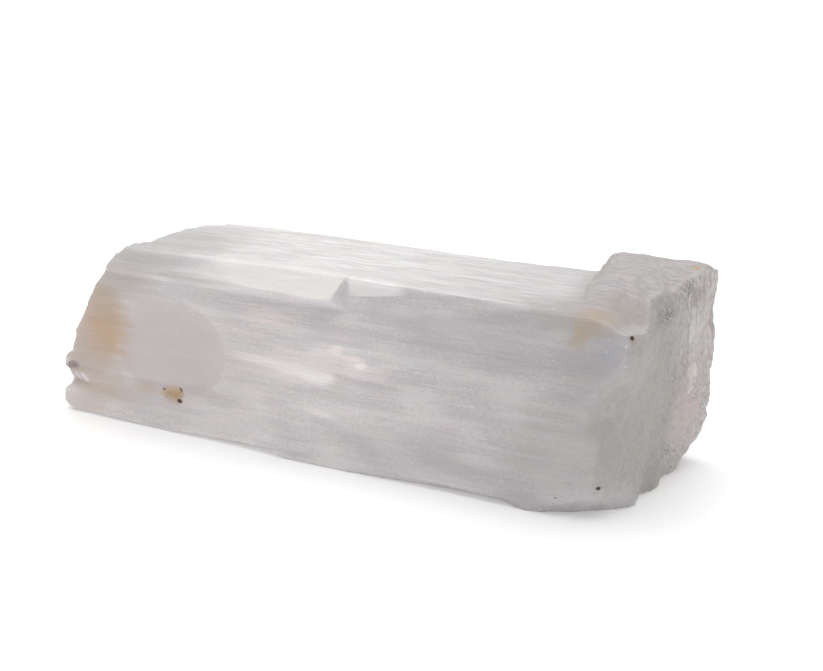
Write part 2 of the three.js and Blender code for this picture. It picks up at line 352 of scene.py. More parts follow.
def ledge_lift(tree, shape, here):
    """Level layers with a ledge between each two, lower on the front."""
    wave = noise(tree, here.point, (70.0, 9.0, 9.0), detail=1.0, roughness=0.4, seed=(9.0, 4.0, 2.0))
    layers = calc(tree, "MULTIPLY", wave, LAYERS)
    ledge = rise(tree, calc(tree, "FRACT", layers), *LEDGE_EDGE)
    stepped = calc(tree, "ADD", calc(tree, "FLOOR", layers), ledge)
    ledges = calc(tree, "MULTIPLY", calc(tree, "SUBTRACT", stepped, MIDDLE_LAYER), shape.ledge_height * 0.5)
    return lessen(tree, ledges, here.front, 0.8)


def lump_lift(tree, shape, here):
    """Lumps and crumbs, with more crumbs at the back, and less of both facing up and on the thin half."""
    lumps = noise(tree, here.point, (6.0, 5.0, 6.0), detail=3.0, roughness=0.55, seed=(5.0, 8.0, 1.0))
    crumbs = noise(tree, here.point, (2.2, 1.5, 2.6), detail=2.0, roughness=0.6, seed=(1.0, 2.0, 3.0))
    crumbly = calc(tree, "MULTIPLY_ADD", rise(tree, here.y, -6.0, 10.0), 0.5, 0.25)
    rough = calc(tree, "MULTIPLY", centred(tree, crumbs), crumbly)
    rough = calc(tree, "MULTIPLY_ADD", centred(tree, lumps), 0.8, rough)
    rough = calc(tree, "MULTIPLY", rough, 2.0 * shape.break_depth)
    rough = lessen(tree, rough, rise(tree, here.up, 0.35, 0.75), 0.7)
    thick_half = calc(tree, "MULTIPLY_ADD", rise(tree, here.x, -20.0, 20.0), 0.5, 0.5)
    return calc(tree, "MULTIPLY", rough, thick_half)


def relief_tree(shape):
    """Raises ribs and ledges along the fibres, and lumps on the broken ends."""
    tree = bpy.data.node_groups.new("fibre_relief", "GeometryNodeTree")
    for way in ("INPUT", "OUTPUT"):
        tree.interface.new_socket("Geometry", in_out=way, socket_type="NodeSocketGeometry")
    start = put(tree, "NodeGroupInput")
    end = put(tree, "NodeGroupOutput")
    facing = put(tree, "GeometryNodeInputNormal").outputs[0]
    here = SimpleNamespace(point=scaled(tree, put(tree, "GeometryNodeInputPosition").outputs[0], 1 / MM))
    here.x, here.y, here.z = parts_of(tree, here.point)
    sideways, backwards, here.up = parts_of(tree, facing)
    here.front = rise(tree, calc(tree, "MULTIPLY", backwards, -1.0), 0.5, 0.9)
    broken = rise(tree, calc(tree, "ABSOLUTE", sideways), 0.35, 0.75)

    split = calc(tree, "ADD", rib_lift(tree, shape, here), ledge_lift(tree, shape, here))
    split = calc(tree, "MULTIPLY", split, rest(tree, broken))
    rough = calc(tree, "MULTIPLY", lump_lift(tree, shape, here), broken)
    lift = calc(tree, "ADD", split, rough)
    lift = calc(tree, "MULTIPLY", lift, rise(tree, here.z, *GROUND_CALM))
    offset = scaled(tree, facing, lift)
    moved = put(tree, "GeometryNodeSetPosition", {"Geometry": start.outputs[0], "Offset": offset})
    tree.links.new(moved.outputs[0], end.inputs[0])
    return tree


# ---- the stone's marks ----


def spot_group():
    """A soft spot: equal to cover inside the core of an ellipsoid, fading to 0 at its radius."""
    tree = bpy.data.node_groups.new("soft_spot", "ShaderNodeTree")
    for name in ("Point", "Centre", "Radius"):
        tree.interface.new_socket(name, in_out="INPUT", socket_type="NodeSocketVector")
    for name in ("Core", "Cover"):
        tree.interface.new_socket(name, in_out="INPUT", socket_type="NodeSocketFloat")
    tree.interface.new_socket("Mask", in_out="OUTPUT", socket_type="NodeSocketFloat")
    start = put(tree, "NodeGroupInput").outputs
    end = put(tree, "NodeGroupOutput")
    away = shift(tree, "DIVIDE", shift(tree, "SUBTRACT", start["Point"], start["Centre"]), start["Radius"])
    far = put(tree, "ShaderNodeVectorMath", {0: away}, operation="LENGTH").outputs["Value"]
    inputs = {
        "Value": far,
        "From Min": 1.0,
        "From Max": start["Core"],
        "To Min": 0.0,
        "To Max": start["Cover"],
    }
    fade = put(tree, "ShaderNodeMapRange", inputs, interpolation_type="SMOOTHSTEP")
    tree.links.new(fade.outputs[0], end.inputs[0])
    return tree


def add_spot(tree, spots, point, centre, radius, core, cover=1.0):
    """Places one soft spot and gives its mask."""
    inputs = {"Point": point, "Centre": centre, "Radius": radius, "Core": core, "Cover": cover}
    return put(tree, "ShaderNodeGroup", inputs, node_tree=spots).outputs[0]


# How a mark's rim runs: clean, a little uneven or straying
CLEAN, UNEVEN, LOOSE = range(3)

# name, centre and radius (mm), how much of the radius is full colour, colour, cover, rim,
# how much it follows the fibres
MARKS = (
    ("dim_corner", (74.0, -27.0, 18.0), (24.0, 12.0, 18.0), 0.2, (0.47, 0.455, 0.44), 0.5, LOOSE, 0.0),
    ("grey_corner", (80.0, -26.0, 37.0), (15.0, 13.0, 13.0), 0.2, (0.42, 0.405, 0.40), 0.5, LOOSE, 0.0),
    ("warm_half", (-46.0, -29.0, 24.0), (64.0, 14.0, 28.0), 0.3, (0.61, 0.55, 0.53), 0.36, LOOSE, 0.0),
    ("smooth_patch", (-49.0, -29.0, 26.0), (21.6, 20.0, 15.5), 0.93, (0.64, 0.57, 0.57), 0.72, CLEAN, 0.0),
    ("dull_facet", (-60.0, -12.0, 51.0), (32.0, 32.0, 9.0), 0.3, (0.53, 0.51, 0.505), 0.8, LOOSE, 0.25),
    ("dull_edge", (-67.0, -28.0, 43.5), (21.0, 9.0, 8.5), 0.15, (0.55, 0.50, 0.475), 0.9, LOOSE, 0.1),
    ("dull_shelf", (-63.0, -27.0, 49.5), (18.0, 6.0, 3.5), 0.2, (0.55, 0.525, 0.51), 0.75, LOOSE, 0.0),
    ("clay_wash", (-78.0, -27.0, 24.0), (17.0, 14.0, 22.0), 0.35, (0.57, 0.465, 0.40), 0.9, LOOSE, 0.1),
    ("clay_stain", (-71.5, -28.0, 28.3), (12.0, 12.0, 13.0), 0.1, (0.60, 0.42, 0.285), 1.0, UNEVEN, 0.0),
    ("clay_high", (-71.5, -28.0, 36.0), (10.0, 12.0, 9.5), 0.15, (0.55, 0.445, 0.355), 0.85, UNEVEN, 0.0),
    ("pale_lobe", (-81.0, -27.0, 4.0), (16.0, 9.0, 5.5), 0.2, (0.74, 0.64, 0.59), 0.8, LOOSE, 0.0),
    # Partly lilac stone, partly painted shade under the overhang of the front-top edge.
    ("lilac_band_and_painted_shade", (15.0, -29.0, 44.5), (72.0, 6.0, 4.5), 0.1, (0.58, 0.555, 0.60), 0.5, LOOSE, 0.3),
    ("upper_shade", (46.0, -29.0, 39.0), (34.0, 8.0, 10.0), 0.2, (0.47, 0.45, 0.465), 0.4, LOOSE, 0.2),
    ("low_shade", (24.0, -29.0, 10.0), (38.0, 8.0, 10.0), 0.2, (0.50, 0.48, 0.485), 0.3, LOOSE, 0.2),
    # Painted light: lightens the foot at the thick end, where the floor contact shades it.
    ("foot_painted_light", (83.0, -18.0, 3.0), (15.0, 17.0, 7.0), 0.2, (0.66, 0.64, 0.65), 0.65, LOOSE, 0.0),
    # Partly the shelf's ivory tone, partly painted light on the shelf's face that looks up towards the
    # overhead light.
    ("shelf_tone_and_painted_light", (-9.0, -26.0, 50.2), (31.0, 8.0, 8.0), 0.55, (0.93, 0.89, 0.86), 0.95, UNEVEN, 0.1),
    # Partly pale stone, partly painted light on the bevel right of the shelf's break, which looks up towards
    # the overhead light.
    ("under_shelf_painted_light", (17.0, -26.0, 51.5), (12.5, 8.0, 6.5), 0.55, (0.93, 0.90, 0.90), 0.85, UNEVEN, 0.1),
    # Painted light: lifts the riser at the shelf's break, which the shelf's overhang shades.
    ("riser_painted_light", (9.4, -28.0, 48.0), (2.3, 6.0, 4.4), 0.4, (0.64, 0.61, 0.62), 0.75, CLEAN, 0.0),
    ("lip_left", (-42.0, -28.0, 46.5), (24.0, 5.0, 2.0), 0.2, (0.54, 0.505, 0.50), 0.8, UNEVEN, 0.0),
    ("rim_haze", (70.0, -23.0, 50.5), (17.0, 14.0, 8.0), 0.15, (0.47, 0.445, 0.44), 0.9, LOOSE, 0.25),
    # The veils, streaks, chips and the square down to low_streak are pale cleavage planes inside the stone,
    # with painted reflection of light off these planes laid into their colour.
    ("bright_veil", (-5.0, -29.0, 26.6), (26.0, 9.0, 5.2), 0.25, (0.90, 0.81, 0.81), 0.9, LOOSE, 0.3),
    ("streak_start", (-18.0, -29.0, 27.0), (10.0, 5.0, 2.0), 0.3, (1.0, 0.93, 0.91), 0.6, UNEVEN, 0.4),
    ("streak_middle", (-6.0, -29.0, 26.3), (11.0, 5.0, 2.3), 0.35, (1.0, 0.95, 0.93), 0.95, UNEVEN, 0.35),
    ("streak_end", (3.0, -29.0, 25.7), (8.5, 5.0, 2.4), 0.5, (1.0, 0.96, 0.94), 1.0, UNEVEN, 0.2),
    ("chip_veil", (8.0, -29.0, 31.4), (18.0, 6.0, 4.6), 0.2, (0.90, 0.81, 0.81), 0.75, LOOSE, 0.5),
    ("side_veil", (20.0, -29.0, 28.5), (11.0, 6.0, 4.2), 0.2, (0.92, 0.83, 0.83), 0.8, LOOSE, 0.5),
    ("bright_chip", (8.3, -29.0, 33.3), (2.8, 4.0, 2.1), 0.4, (1.0, 0.90, 0.88), 0.75, UNEVEN, 0.0),
    ("chip_arm", (13.4, -29.0, 31.8), (5.5, 4.0, 1.7), 0.2, (0.97, 0.87, 0.87), 0.75, UNEVEN, 0.2),
    ("chip_start", (2.0, -29.0, 32.6), (6.0, 4.0, 1.6), 0.2, (0.97, 0.87, 0.88), 0.6, UNEVEN, 0.3),
    ("bright_square", (17.0, -29.0, 30.3), (2.4, 4.0, 1.4), 0.35, (1.0, 0.96, 0.93), 0.85, UNEVEN, 0.0),
    ("pink_veil", (-13.0, -29.0, 39.0), (13.0, 6.0, 3.6), 0.0, (0.90, 0.775, 0.79), 0.9, LOOSE, 0.5),
    ("low_streak", (3.5, -29.0, 15.0), (9.0, 5.0, 2.1), 0.1, (0.93, 0.87, 0.86), 0.9, UNEVEN, 0.6),
    ("crack_clay", (-73.0, -29.0, 9.0), (19.0, 6.0, 5.0), 0.1, (0.60, 0.50, 0.42), 0.8, UNEVEN, 0.0),
    ("notch_clay", (-85.0, -26.0, 12.5), (8.0, 12.0, 5.5), 0.1, (0.50, 0.42, 0.385), 0.8, LOOSE, 0.0),
    ("notch_crumb_1", (-84.3, -28.5, 11.5), (1.3, 5.0, 1.2), 0.3, (0.80, 0.72, 0.76), 0.8, UNEVEN, 0.0),
    ("notch_crumb_2", (-81.3, -28.5, 11.3), (1.9, 5.0, 1.4), 0.3, (0.82, 0.76, 0.80), 0.85, UNEVEN, 0.0),
    ("notch_crumb_3", (-84.6, -28.5, 9.9), (2.4, 5.0, 1.3), 0.2, (0.54, 0.40, 0.38), 0.8, UNEVEN, 0.0),
    ("notch_ochre", (-82.9, -28.5, 13.5), (1.9, 5.0, 1.1), 0.2, (0.56, 0.47, 0.35), 0.85, UNEVEN, 0.0),
    ("notch_brown", (-86.3, -28.5, 14.6), (3.3, 5.0, 1.7), 0.25, (0.28, 0.19, 0.19), 0.85, UNEVEN, 0.0),
    ("notch_shade", (-87.0, -28.5, 12.9), (1.3, 5.0, 1.3), 0.2, (0.36, 0.32, 0.29), 0.7, UNEVEN, 0.0),
    ("notch_speck_1", (-87.4, -28.6, 15.0), (0.7, 3.0, 0.4), 0.3, (0.13, 0.08, 0.08), 0.75, CLEAN, 0.0),
    ("notch_speck_2", (-85.3, -28.6, 14.9), (0.5, 3.0, 0.35), 0.3, (0.15, 0.09, 0.08), 0.7, CLEAN, 0.0),
    ("pit_clay", (-47.4, -29.0, 11.9), (5.6, 5.0, 3.4), 0.3, (0.58, 0.415, 0.27), 1.0, UNEVEN, 0.0),
    ("pit_tail", (-57.0, -29.0, 12.0), (11.0, 5.0, 2.4), 0.1, (0.62, 0.51, 0.44), 0.75, UNEVEN, 0.2),
    ("corner_haze", (81.5, -23.0, 49.0), (9.0, 8.0, 6.5), 0.2, (0.43, 0.395, 0.39), 0.6, LOOSE, 0.3),
    ("clay_corner", (79.0, -23.5, 50.0), (7.5, 9.0, 5.5), 0.1, (0.50, 0.395, 0.30), 0.95, UNEVEN, 0.3),
    ("clay_tip", (75.6, -27.5, 46.6), (3.8, 6.0, 4.8), 0.15, (0.51, 0.415, 0.325), 0.9, UNEVEN, 0.2),
    ("clay_slope", (82.0, -14.0, 51.0), (11.0, 13.0, 6.5), 0.15, (0.43, 0.375, 0.35), 0.75, LOOSE, 0.3),
    ("lilac_corner", (84.0, -26.5, 42.5), (9.0, 8.0, 8.0), 0.05, (0.45, 0.445, 0.475), 0.75, LOOSE, 0.3),
    ("rust_spot", (88.5, 19.5, 54.9), (2.0, 1.7, 2.2), 0.2, (0.56, 0.36, 0.18), 0.8, UNEVEN, 0.3),
    ("end_blush", (91.0, 13.0, 20.0), (14.0, 13.0, 15.0), 0.3, (0.61, 0.51, 0.50), 0.55, LOOSE, 0.0),
    ("end_crumbs", (91.0, 14.5, 27.5), (5.0, 5.0, 8.0), 0.15, (0.86, 0.78, 0.75), 0.9, LOOSE, 0.4),
    ("end_comb", (91.0, 20.0, 38.0), (9.0, 9.0, 10.0), 0.2, (0.74, 0.70, 0.685), 0.5, LOOSE, 0.0),
    ("speck_1", (-44.9, -28.6, 13.3), (0.8, 2.5, 1.0), 0.5, (0.05, 0.03, 0.02), 1.0, CLEAN, 0.0),
    ("speck_2", (-44.9, -29.0, 10.2), (1.25, 2.5, 0.8), 0.5, (0.05, 0.03, 0.02), 1.0, CLEAN, 0.0),
    ("speck_3", (-50.5, -29.0, 12.9), (0.8, 2.5, 0.55), 0.4, (0.15, 0.09, 0.05), 0.85, CLEAN, 0.0),
    ("speck_7", (-49.8, -29.0, 10.5), (0.5, 2.5, 0.35), 0.3, (0.20, 0.12, 0.06), 0.7, CLEAN, 0.0),
    ("speck_8", (-48.6, -29.0, 10.2), (0.4, 2.5, 0.3), 0.3, (0.20, 0.12, 0.06), 0.7, CLEAN, 0.0),
    ("speck_halo", (88.8, -25.9, 47.5), (1.8, 2.2, 1.8), 0.1, (0.42, 0.33, 0.25), 0.8, CLEAN, 0.0),
    ("speck_4", (88.8, -25.9, 47.5), (0.8, 1.0, 0.8), 0.5, (0.03, 0.02, 0.015), 1.0, CLEAN, 0.0),
    ("speck_5", (82.0, -26.1, 8.6), (0.8, 1.0, 0.8), 0.45, (0.03, 0.02, 0.015), 1.0, CLEAN, 0.0),
    ("speck_6", (71.9, -28.6, 5.0), (0.5, 0.7, 0.5), 0.3, (0.12, 0.08, 0.04), 0.9, CLEAN, 0.0),
)

# Where dark scribbles run: centre and radius (mm)
SCRIBBLES = (
    ((89.5, 12.0, 50.5), (4.5, 6.0, 3.6)),
    ((89.0, -1.5, 46.6), (4.5, 9.0, 3.4)),
    ((90.0, 15.0, 23.5), (5.0, 5.0, 6.0)),
    ((89.5, 5.0, 9.0), (5.0, 6.5, 4.0)),
)


# ---- the stone, as a material: lengths are in millimetres, and a pair is a smooth step ----

# The noises: name, length of a feature along x, y and z, detail, roughness, seed, and how much it
# moves the tone, which goes from the mauve stone at 0 to the milky stone at 1
NOISES = (
    ("fine", (9.0, 0.55, 0.55), 1.0, 0.5, (2.0, 5.0, 1.0), 0.75),
    ("hair", (30.0, 0.4, 0.4), 0.0, 0.5, (5.0, 7.0, 2.0), 0.55),
    ("broad", (22.0, 2.0, 2.0), 1.0, 0.5, (7.0, 3.0, 4.0), 1.6),
    ("mottle", (13.0, 6.0, 6.0), 0.0, 0.5, (4.0, 9.0, 6.0), 1.6),
    ("grain", (0.8, 0.4, 0.4), 0.0, 0.5, (1.0, 1.0, 1.0), 1.3),
    ("crumb", (2.4, 1.2, 1.2), 1.0, 0.6, (6.0, 1.0, 2.0), 0.0),
)
MIDDLE_TONE = 0.55
HAIR_LEAN = (0.0, 0.03, 0.035)  # how the finest fibres lean from the log's length (radians)

# Two colours that a noise or a place goes between
DEEP_STONE = ((0.45, 0.43, 0.445), (0.56, 0.53, 0.535))
# The top's colours: its own paler tone, with painted light laid in where the faces look up towards the
# overhead light.
TOP_STONE_AND_LIGHT = ((0.92, 0.895, 0.885), (0.74, 0.715, 0.705))
BROKEN_STONE = ((0.40, 0.385, 0.355), (0.47, 0.45, 0.42))
CRUMBS = ((0.43, 0.39, 0.38), (0.73, 0.69, 0.675))
CRUST = ((0.43, 0.405, 0.405), (0.54, 0.505, 0.495))
SCRIBBLE = (0.22, 0.20, 0.195)
DIRT = (0.42, 0.37, 0.34)
HUE_SWING = (0.08, 0.04, 0.07)  # how far red, green and blue wander from place to place
# Painted glints glow with this colour, though they are no lamp.
PAINTED_GLINT_GLOW = (0.5, 0.5, 0.5)

# How much each covers what lies under it
DEEP_COVER = 0.76
CRUMB_COVER = 0.85
BROKEN_COVER = 0.8
CRUST_COVER = 0.9
DIRT_COVER = 0.6

# Scattered cells: how many there are in a millimetre, and which of them are dirt or painted glints of light
CELLS = 0.9
DIRT_BELOW = 0.012
PAINTED_GLINT_ABOVE = 0.992
PAINTED_GLINT_EXTRA = 0.12  # how much lower that limit is where the stone is busy
BUSY_RIM = ((52.0, -26.0, 50.5), (21.0, 4.0, 2.8), 0.2)  # centre, radius and core

IOR = 1.52
SCATTER = 0.6
SCATTER_REACH = (1.0, 0.94, 0.97)  # for red, green and blue, as parts of the light depth


def stone_places(tree):
    """Where a place on the log is, how far up it faces, and how much it belongs to each part."""
    in_mm = {"Vector": put(tree, "ShaderNodeTexCoord").outputs["Object"], "Scale": (1 / MM,) * 3}
    here = SimpleNamespace(point=put(tree, "ShaderNodeMapping", in_mm).outputs[0])
    here.leaning = put(tree, "ShaderNodeMapping", {**in_mm, "Rotation": HAIR_LEAN}).outputs[0]
    here.x, here.y, here.z = parts_of(tree, here.point)
    sideways, _, here.up = parts_of(tree, put(tree, "ShaderNodeNewGeometry").outputs["Normal"])
    facing_end = rise(tree, calc(tree, "ABSOLUTE", sideways), 0.35, 0.8)
    near_end = rise(tree, calc(tree, "ABSOLUTE", here.x), 44.0, 56.0)
    here.end_face = calc(tree, "MULTIPLY", facing_end, near_end)
    here.thick_half = rise(tree, here.x, 0.0, 20.0)
    here.top_face = calc(tree, "MULTIPLY", rise(tree, here.up, 0.68, 0.9), rise(tree, here.z, 42.0, 47.0))
    block = past_line(tree, here.x, here.y, 0.25, 60.0, 70.0)
    here.block = calc(tree, "MULTIPLY", block, rise(tree, here.z, 44.0, 50.0))
    return here


def stone_noises(tree, here):
    """The noises by name, with the tone that they make together."""
    noises = SimpleNamespace()
    tone = MIDDLE_TONE
    for name, size, detail, roughness, seed, weight in NOISES:
        point = here.leaning if name == "hair" else here.point
        made = noise(tree, point, size, detail, roughness, seed)
        setattr(noises, name, made)
        if weight:
            tone = calc(tree, "MULTIPLY_ADD", centred(tree, made), weight, tone)
    noises.tone = calc(tree, "MAXIMUM", 0.0, calc(tree, "MINIMUM", 1.0, tone))
    return noises


def body_colour(tree, finish, here, noises):
    """Milky and mauve fibres, deeper towards the thick end, with a paler, streaked top that is partly the
    stone's own tone and partly painted light on the faces that look up.
    """
    colour = blend(tree, finish.mauve, finish.milky, noises.tone)
    deep = calc(tree, "MULTIPLY", rise(tree, here.x, -10.0, 88.0), DEEP_COVER)
    colour = blend(tree, colour, blend(tree, *DEEP_STONE, noises.tone), deep)
    # Painted light: up-facing faces take the paler top colour, as if lit from above.
    top = blend(tree, *TOP_STONE_AND_LIGHT, rise(tree, here.x, -10.0, 60.0))
    streaks = rise(tree, calc(tree, "ADD", noises.hair, noises.fine), 0.8, 1.15)
    streaked = calc(tree, "MULTIPLY_ADD", streaks, 0.75, 0.2)
    return blend(tree, colour, top, product(tree, here.top_face, rest(tree, here.block), streaked))


def add_broken_ends(tree, colour, here, noises):
    """Greyer, greener broken ends. The back of the thick one has pale crumbs and, high up, a comb."""
    upright = noise(tree, here.point, (6.0, 0.5, 11.0), detail=0.0, roughness=0.5, seed=(3.0, 8.0, 1.0))
    comb = product(tree, rise(tree, here.y, 8.0, 16.0), rise(tree, here.z, 28.0, 38.0), here.thick_half, 1.8)
    tone = calc(tree, "MULTIPLY_ADD", centred(tree, upright), comb, noises.crumb)
    broken = blend(tree, *BROKEN_STONE, rise(tree, tone, 0.3, 0.7))
    crumbs = blend(tree, *CRUMBS, rise(tree, tone, 0.25, 0.8))
    crumbly = product(tree, rise(tree, here.y, 0.0, 14.0), here.thick_half, CRUMB_COVER)
    broken = blend(tree, broken, crumbs, crumbly)
    return blend(tree, colour, broken, calc(tree, "MULTIPLY", here.end_face, BROKEN_COVER))


def add_crust(tree, colour, here, noises):
    """A dull crust on the upper faces of the block."""
    tone = calc(tree, "MULTIPLY_ADD", noises.fine, 0.6, calc(tree, "MULTIPLY", noises.crumb, 0.4))
    crust = blend(tree, *CRUST, rise(tree, tone, 0.38, 0.62))
    return blend(tree, colour, crust, product(tree, here.block, rise(tree, here.up, 0.1, 0.6), CRUST_COVER))


def wandering(tree, point):
    """Slow noise of three values, each about 0, with longer features along the fibres."""
    slow = shift(tree, "MULTIPLY", point, (0.12, 0.5, 0.5))
    slow = put(tree, "ShaderNodeTexNoise", {"Vector": slow, "Scale": 1.0, "Detail": 0.0}).outputs["Color"]
    return shift(tree, "SUBTRACT", slow, (0.5, 0.5, 0.5))


def mark_limits(tree, here):
    """Limits of the marks that stop at a ledge or a break, by the mark's name."""
    patch_left = past_line(tree, here.x, here.z, -0.11, -69.8, -68.0)
    shelf_break = past_line(tree, here.x, here.z, -0.35, -9.6, -9.1)
    shelf_lip = past_line(tree, here.z, here.x, 0.026, 46.1, 46.5)
    under_lip = past_line(tree, here.z, here.x, -0.12, 45.9, 46.3)
    return {
        "smooth_patch": calc(tree, "MULTIPLY", patch_left, fall(tree, here.z, 33.0, 41.0)),
        "shelf_tone_and_painted_light": calc(tree, "MULTIPLY", shelf_lip, rest(tree, shelf_break)),
        "under_shelf_painted_light": calc(tree, "MULTIPLY", under_lip, rise(tree, here.x, 9.7, 10.3)),
        "riser_painted_light": shelf_break,
    }


def add_marks(tree, colour, spots, here, noises, wander):
    """Lays the marks over the stone in their order. Gives the colour, and the marks' masks by name."""
    uneven = shift(tree, "MULTIPLY_ADD", wander, (4.0, 1.8, 1.8), here.point)
    loose = shift(tree, "MULTIPLY_ADD", wander, (11.0, 5.0, 5.0), here.point)
    rims = {CLEAN: here.point, UNEVEN: uneven, LOOSE: loose}
    fibres = rise(tree, calc(tree, "ADD", noises.fine, noises.broad), 0.85, 1.15)
    limits = mark_limits(tree, here)
    masks = {}
    for name, centre, radius, core, tint, cover, rim, fibrous in MARKS:
        amount = add_spot(tree, spots, rims[rim], centre, radius, core, cover)
        masks[name] = amount
        if name in limits:
            amount = calc(tree, "MULTIPLY", amount, limits[name])
        if fibrous:
            threads = calc(tree, "MULTIPLY_ADD", fibres, fibrous, 1.0 - fibrous)
            amount = calc(tree, "MULTIPLY", amount, threads)
        colour = blend(tree, colour, tint, amount)
    return colour, masks


def add_scribbles(tree, colour, spots, here, noises):
    """Thin dark lines that wander between the crumbs."""
    lines = fall(tree, calc(tree, "ABSOLUTE", centred(tree, noises.crumb)), 0.015, 0.075)
    for centre, radius in SCRIBBLES:
        spot = add_spot(tree, spots, here.point, centre, radius, core=0.3, cover=0.9)
        colour = blend(tree, colour, SCRIBBLE, calc(tree, "MULTIPLY", spot, lines))
    return colour


def add_specks(tree, colour, spots, here, masks):
    """Specks of dirt on the top, and painted glints all over: white cells that stand in for light caught by
    tiny facets. Gives the colour and the glints' mask.
    """
    cells = put(tree, "ShaderNodeTexVoronoi", {"Vector": here.point, "Scale": CELLS}).outputs
    chosen = put(tree, "ShaderNodeSeparateColor", {0: cells["Color"]}).outputs[0]
    dirty = calc(tree, "LESS_THAN", chosen, DIRT_BELOW)
    dirt = product(tree, dirty, here.top_face, fall(tree, cells["Distance"], 0.1, 0.35), DIRT_COVER)
    colour = blend(tree, colour, DIRT, dirt)

    busy = calc(tree, "MAXIMUM", add_spot(tree, spots, here.point, *BUSY_RIM), masks["lilac_corner"])
    limit = calc(tree, "MULTIPLY_ADD", busy, -PAINTED_GLINT_EXTRA, PAINTED_GLINT_ABOVE)
    bright = calc(tree, "GREATER_THAN", chosen, limit)
    painted_glint = calc(tree, "MULTIPLY", bright, fall(tree, cells["Distance"], 0.06, 0.16))
    return blend(tree, colour, WHITE, painted_glint), painted_glint


def satin(tree, finish, here, noises):
    """Roughness of the split faces, raised on the broken ends and on the block."""
    rough = calc(tree, "MULTIPLY_ADD", centred(tree, noises.broad), 0.4, finish.roughness)
    for dull in (here.end_face, here.block):
        rough = calc(tree, "MULTIPLY_ADD", dull, 0.2, rough)
    return rough


def fine_bump(tree, here, noises, smooth):
    """Relief too fine for the mesh: fibres, and crumbs on the rough parts, calmer on the smooth patch."""
    rough_parts = calc(tree, "MAXIMUM", here.end_face, here.block)
    crumbly = calc(tree, "MULTIPLY_ADD", rough_parts, 1.2, 0.2)
    height = calc(tree, "MULTIPLY_ADD", noises.crumb, crumbly, noises.fine)
    height = lessen(tree, height, smooth, 0.7)
    return put(tree, "ShaderNodeBump", {"Height": height, "Strength": 0.7, "Distance": 0.25 * MM}).outputs[0]


def stone_material(finish):
    """Milky selenite: fibres, mottling, veils, clay stains and specks, with a satin face. Painted light is
    laid into the colour as well: a paler top, lit shelf faces, reflection in the veils, and glints that
    glow.
    """
    material = bpy.data.materials.new("milky_selenite")
    material.use_nodes = True
    tree = material.node_tree
    tree.nodes.clear()
    here = stone_places(tree)
    noises = stone_noises(tree, here)
    spots = spot_group()
    wander = wandering(tree, here.point)

    colour = body_colour(tree, finish, here, noises)
    colour = add_broken_ends(tree, colour, here, noises)
    colour = add_crust(tree, colour, here, noises)
    colour = shift(tree, "MULTIPLY", colour, shift(tree, "MULTIPLY_ADD", wander, HUE_SWING, WHITE))
    colour, masks = add_marks(tree, colour, spots, here, noises, wander)
    colour = add_scribbles(tree, colour, spots, here, noises)
    colour, painted_glint = add_specks(tree, colour, spots, here, masks)

    inputs = {
        "Base Color": colour,
        "Roughness": satin(tree, finish, here, noises),
        "Normal": fine_bump(tree, here, noises, masks["smooth_patch"]),
        "IOR": IOR,
        "Subsurface Weight": SCATTER,
        "Subsurface Radius": SCATTER_REACH,
        "Subsurface Scale": finish.depth,
        # The painted glints glow, though they are no lamp.
        "Emission Color": blend(tree, BLACK, PAINTED_GLINT_GLOW, painted_glint),
        "Emission Strength": 1.0,
    }
    surface = put(tree, "ShaderNodeBsdfPrincipled", inputs, subsurface_method="BURLEY")
    output = put(tree, "ShaderNodeOutputMaterial")
    tree.links.new(surface.outputs[0], output.inputs["Surface"])
    return material


# ---- the crystal ----


def select_only(thing):
    """Leaves one object selected and active."""
    bpy.ops.object.select_all(action="DESELECT")
    thing.select_set(True)
    bpy.context.view_layer.objects.active = thing


def stretch_mesh(factor):
    """Stretches the active object's mesh along the fibres, about the origin."""
    bpy.ops.object.mode_set(mode="EDIT")
    bpy.ops.mesh.select_all(action="SELECT")
    bpy.ops.transform.resize(value=(factor, 1.0, 1.0), center_override=(0.0, 0.0, 0.0))
    bpy.ops.object.mode_set(mode="OBJECT")


class SELENITE_OT_crystal(bpy.types.Operator):
    """Makes the log's stone from the solid"""

    bl_idname = "selenite.crystal"
    bl_label = "Selenite Crystal"
    bl_options = {"REGISTER", "UNDO"}

    def execute(self, context):
        shape = context.scene.selenite_shape
        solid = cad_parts[CAD_NODE]
        crystal = bpy.data.objects.new(PIECE, solid.data.copy())
        context.scene.collection.objects.link(crystal)
        select_only(crystal)
        bpy.ops.object.mode_set(mode="EDIT")
        bpy.ops.mesh.select_all(action="SELECT")
        bpy.ops.mesh.remove_doubles(threshold=0.001 * MM)
        bpy.ops.object.mode_set(mode="OBJECT")

        stretch_mesh(1 / shape.stretch)
        skin = crystal.modifiers.new("even_skin", "REMESH")
        skin.mode = "VOXEL"
        skin.voxel_size = shape.grain
        bpy.ops.object.modifier_apply(modifier=skin.name)
        stretch_mesh(shape.stretch)

        relief = crystal.modifiers.new("fibre_relief", "NODES")
        relief.node_group = relief_tree(shape)
        bpy.ops.object.modifier_apply(modifier=relief.name)
        bpy.ops.object.shade_smooth()

        crystal.data.materials.clear()
        crystal.data.materials.append(stone_material(context.scene.selenite_finish))
        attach(crystal, "root")
        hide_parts(CAD_NODE)
        return {"FINISHED"}


# ---- the studio ----

SUN_TURN = (math.radians(-8), math.radians(-6), 0.0)
SENSOR_WIDTH = 36.0  # mm


def floor_material(stage):
    """Plain, dull floor that glows a little."""
    material = bpy.data.materials.new("plain_floor")
    material.use_nodes = True
    values = {
        "Base Color": opaque(stage.floor_colour),
        "Roughness": 0.9,
        "Specular IOR Level": 0.0,
        "Emission Color": opaque(WHITE),
        "Emission Strength": stage.floor_glow,
    }
    for name, value in values.items():
        material.node_tree.nodes["Principled BSDF"].inputs[name].default_value = value
    return material


